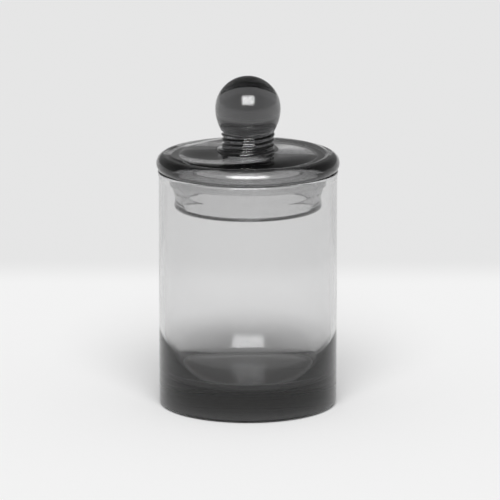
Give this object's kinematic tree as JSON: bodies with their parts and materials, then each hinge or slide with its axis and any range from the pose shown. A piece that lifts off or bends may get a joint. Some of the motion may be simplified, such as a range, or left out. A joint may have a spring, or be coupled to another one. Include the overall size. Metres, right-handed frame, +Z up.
{
  "type": "glass canister",
  "caption": "Round smoke-grey glass canister with a heavy solid base and a loose glass lid, with a ball knob and a collar that hangs inside the jar.",
  "frame": {"origin": "centre of the jar's underside, on the surface that it stands on", "axes": "+Z up along the axis of the jar and the lid; round about Z, so X and Y are free"},
  "size_m": [0.078, 0.078, 0.1421],
  "materials": {
    "jar_glass": "clear smoke grey, fire polished",
    "lid_glass": "clear smoke grey, fire polished, with fine cords in the knob"
  },
  "bodies": {
    "root": {"jar": "jar_glass", "lid": "lid_glass"}
  },
  "joints": []
}
